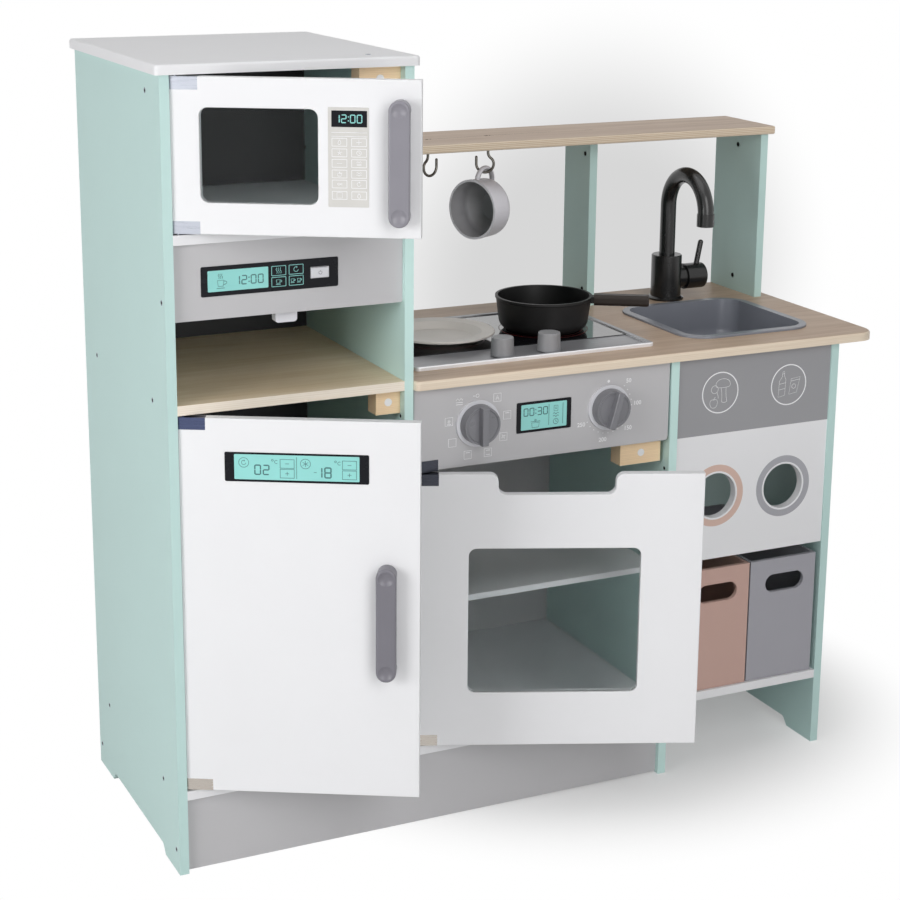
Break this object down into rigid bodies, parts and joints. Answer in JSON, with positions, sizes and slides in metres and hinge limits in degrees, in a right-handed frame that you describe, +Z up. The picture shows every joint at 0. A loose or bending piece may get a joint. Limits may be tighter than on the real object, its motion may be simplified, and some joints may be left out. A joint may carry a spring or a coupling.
{
  "type": "toy kitchen",
  "caption": "Free-standing wooden toy kitchen with microwave, coffee front, fridge, oven, hob, sink with swivelling tap, waste bins under drop holes, and a hook shelf above the worktop.",
  "frame": {"origin": "on the floor, under the middle of the whole kitchen as it stands with its doors ajar", "axes": "+X to the right seen from the front, +Y to the back, +Z up"},
  "size_m": [1.028, 0.5235, 1.012],
  "materials": {
    "mint_paint": "satin lacquer on board",
    "white_paint": "satin lacquer on board",
    "grey_paint": "satin lacquer on board",
    "waste_paint": "satin lacquer on board, grey above and white below",
    "black_paint": "printed board, black behind the microwave",
    "wood_top": "wood-grain surface with pale edges",
    "bare_wood": "untreated wood",
    "pink_paint": "satin lacquer on board",
    "bin_grey_paint": "satin lacquer on board",
    "clear_acrylic": "clear acrylic",
    "black_glass": "gloss black sheet",
    "hob_silver": "silver-grey, gloss",
    "sink_grey": "moulded, semi-gloss",
    "black_plastic": "moulded, semi-gloss",
    "grey_plastic": "moulded, matt",
    "pale_plastic": "moulded, matt",
    "steel": "plain steel",
    "dark_steel": "blackened wire",
    "mug_grey": "moulded, matt",
    "plate_beige": "moulded, matt",
    "pan_black": "moulded, matt",
    "pan_grip": "moulded, matt"
  },
  "bodies": {
    "cabinet": {"left_side_panel": "mint_paint", "tall_right_panel": "mint_paint", "divider_panel": "mint_paint", "right_side_panel": "mint_paint", "top_panel": "white_paint", "microwave_shelf": "white_paint", "niche_shelf": "wood_top", "bottom_shelf": "white_paint", "kick_plate": "grey_paint", "rear_kick_rail": "grey_paint", "oven_shelf": "white_paint", "control_panel": "grey_paint", "coffee_panel": "grey_paint", "coffee_nozzle": "pale_plastic", "worktop": "wood_top", "tall_back_panel": "black_paint", "oven_back_panel": "grey_paint", "waste_board": "waste_paint", "bin_shelf": "white_paint", "right_upright": "mint_paint", "middle_upright": "mint_paint", "upper_shelf": "wood_top", "mug_hooks": "dark_steel", "catch_blocks": "bare_wood", "catch_magnets": "steel", "assembly_screws": "steel", "hob_tray": "hob_silver", "hob_glass": "black_glass", "sink": "sink_grey", "faucet_base": "black_plastic", "knob_skirts": "pale_plastic", "oven_hinge_bracket": "steel"},
    "microwave_door": {"microwave_door": "white_paint", "microwave_window": "clear_acrylic", "microwave_handle": "grey_plastic", "microwave_door_hinges": "steel", "microwave_strike": "steel"},
    "fridge_door": {"fridge_door": "white_paint", "fridge_handle": "grey_plastic", "fridge_door_hinges": "steel", "fridge_strike": "steel"},
    "oven_door": {"oven_door": "white_paint", "oven_window": "clear_acrylic", "oven_door_hinges": "steel", "oven_strike": "steel"},
    "coffee_button": {"coffee_button": "pale_plastic"},
    "faucet_spout": {"faucet_spout": "black_plastic"},
    "faucet_lever": {"faucet_lever": "black_plastic"},
    "mode_knob": {"mode_knob": "grey_plastic"},
    "temperature_knob": {"temperature_knob": "grey_plastic"},
    "left_hob_knob": {"left_hob_knob": "grey_plastic"},
    "right_hob_knob": {"right_hob_knob": "grey_plastic"},
    "pink_bin": {"pink_bin_front": "pink_paint", "pink_bin_tray": "pink_paint"},
    "grey_bin": {"grey_bin_front": "bin_grey_paint", "grey_bin_tray": "bin_grey_paint"},
    "mug": {"mug": "mug_grey"},
    "plate": {"plate": "plate_beige"},
    "pan": {"pan": "pan_black", "pan_handle": "pan_grip"}
  },
  "joints": [
    {"name": "microwave_hinge", "type": "hinge", "parent": "cabinet", "child": "microwave_door", "pos_m": [-0.4876, -0.10525, 0.907], "axis": [0, 0, -1], "range_deg": [-29.9, 75]},
    {"name": "fridge_hinge", "type": "hinge", "parent": "cabinet", "child": "fridge_door", "pos_m": [-0.4876, -0.10525, 0.3545], "axis": [0, 0, -1], "range_deg": [-28.85, 76]},
    {"name": "oven_hinge", "type": "hinge", "parent": "cabinet", "child": "oven_door", "pos_m": [-0.1811, -0.10525, 0.2995], "axis": [0, 0, -1], "range_deg": [-23, 67]},
    {"name": "coffee_press", "type": "slide", "parent": "cabinet", "child": "coffee_button", "axis": [0, 1, 0], "range_m": [0, 0.002], "stiffness_N_per_m": 400, "springref_m": -0.0005},
    {"name": "spout_swivel", "type": "hinge", "parent": "cabinet", "child": "faucet_spout", "pos_m": [0.3555, 0.18375, 0.66], "axis": [0, 0, 1], "range_deg": [-110, 110]},
    {"name": "lever_tilt", "type": "hinge", "parent": "cabinet", "child": "faucet_lever", "pos_m": [0.401, 0.18375, 0.64], "axis": [1, 0, 0], "range_deg": [-45, 45]},
    {"name": "mode_knob_turn", "type": "hinge", "parent": "cabinet", "child": "mode_knob", "pos_m": [-0.099, -0.11025, 0.5432], "axis": [0, -1, 0], "range_deg": [-150, 150]},
    {"name": "temperature_knob_turn", "type": "hinge", "parent": "cabinet", "child": "temperature_knob", "pos_m": [0.0925, -0.11025, 0.5432], "axis": [0, -1, 0], "range_deg": [-140, 140]},
    {"name": "left_hob_knob_turn", "type": "hinge", "parent": "cabinet", "child": "left_hob_knob", "pos_m": [-0.0341, -0.04825, 0.62], "axis": [0, 0, 1], "range_deg": [-135, 135]},
    {"name": "right_hob_knob_turn", "type": "hinge", "parent": "cabinet", "child": "right_hob_knob", "pos_m": [0.0349, -0.04825, 0.62], "axis": [0, 0, 1], "range_deg": [-135, 135]},
    {"name": "pink_bin_pull", "type": "slide", "parent": "cabinet", "child": "pink_bin", "axis": [0, -1, 0], "range_m": [0, 0.225]},
    {"name": "grey_bin_pull", "type": "slide", "parent": "cabinet", "child": "grey_bin", "axis": [0, -1, 0], "range_m": [0, 0.225]},
    {"name": "mug_swing", "type": "hinge", "parent": "cabinet", "child": "mug", "pos_m": [0.05041, 0.17995, 0.816], "axis": [-0.9033, 0.4289, 0], "range_deg": [-20, 20]},
    {"name": "plate_lift", "type": "slide", "parent": "cabinet", "child": "plate", "axis": [0, 0, 1], "range_m": [0, 0.15]},
    {"name": "pan_lift", "type": "slide", "parent": "cabinet", "child": "pan", "axis": [0, 0, 1], "range_m": [0, 0.15]}
  ]
}
